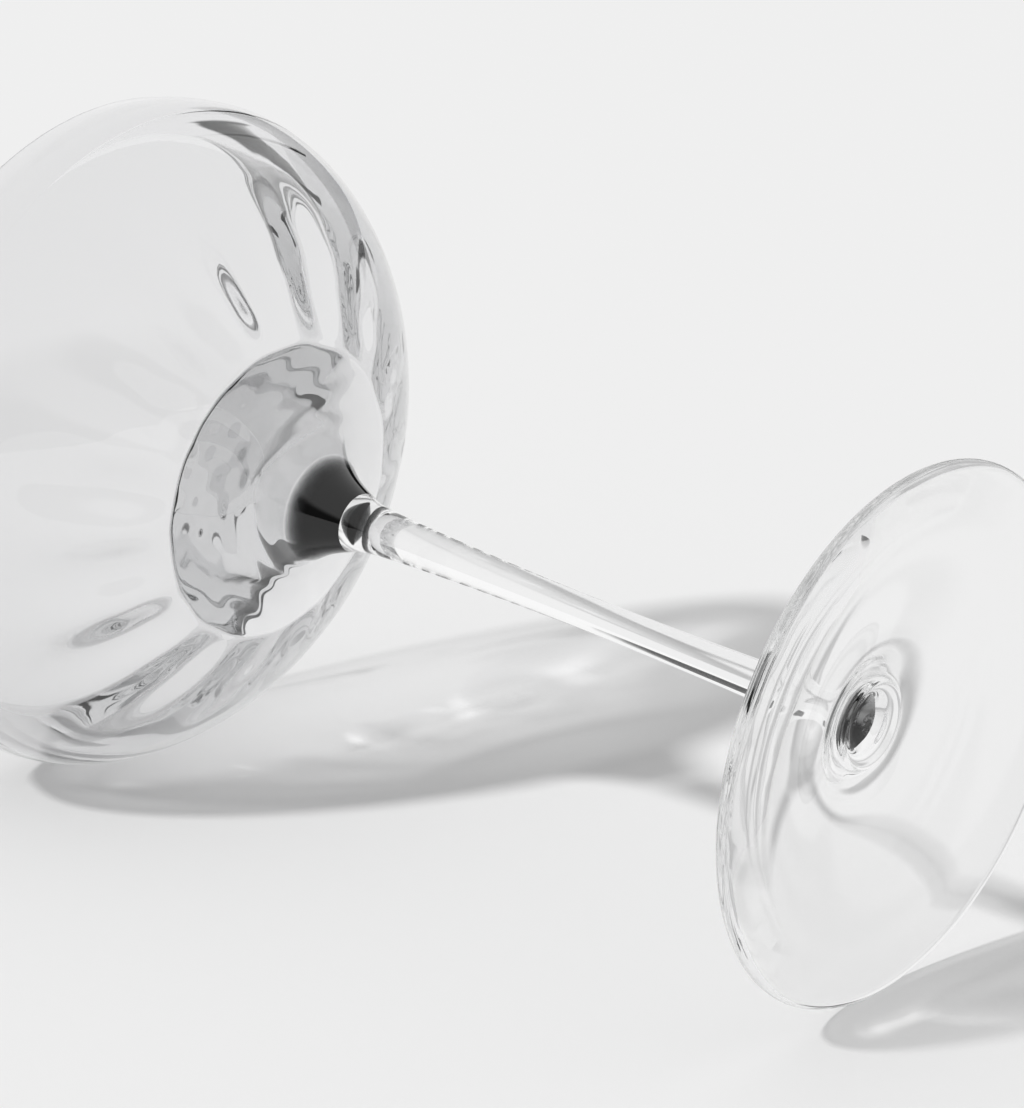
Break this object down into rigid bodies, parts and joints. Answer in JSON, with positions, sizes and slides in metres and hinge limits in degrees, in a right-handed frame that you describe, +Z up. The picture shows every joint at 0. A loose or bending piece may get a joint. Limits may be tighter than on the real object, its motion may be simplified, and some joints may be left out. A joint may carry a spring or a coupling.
{
  "type": "champagne coupe",
  "caption": "Stemmed glass saucer for sparkling wine: wide optic-ribbed smoke bowl, dark trumpet drop under it, slim clear stem and round clear foot.",
  "frame": {"origin": "centre of the foot, on the plane its resting ring stands on", "axes": "+Z up the stem towards the rim; +X and +Y square to it, +Y being the side the glass lies on in the picture"},
  "size_m": [0.093, 0.093, 0.137],
  "materials": {
    "clear_glass": "fire polished",
    "dark_smoke_glass": "fire polished",
    "pale_smoke_glass": "fire polished"
  },
  "bodies": {
    "root": {"foot": "clear_glass", "stem": "clear_glass", "smoke_drop": "dark_smoke_glass", "bowl": "pale_smoke_glass"}
  },
  "joints": []
}
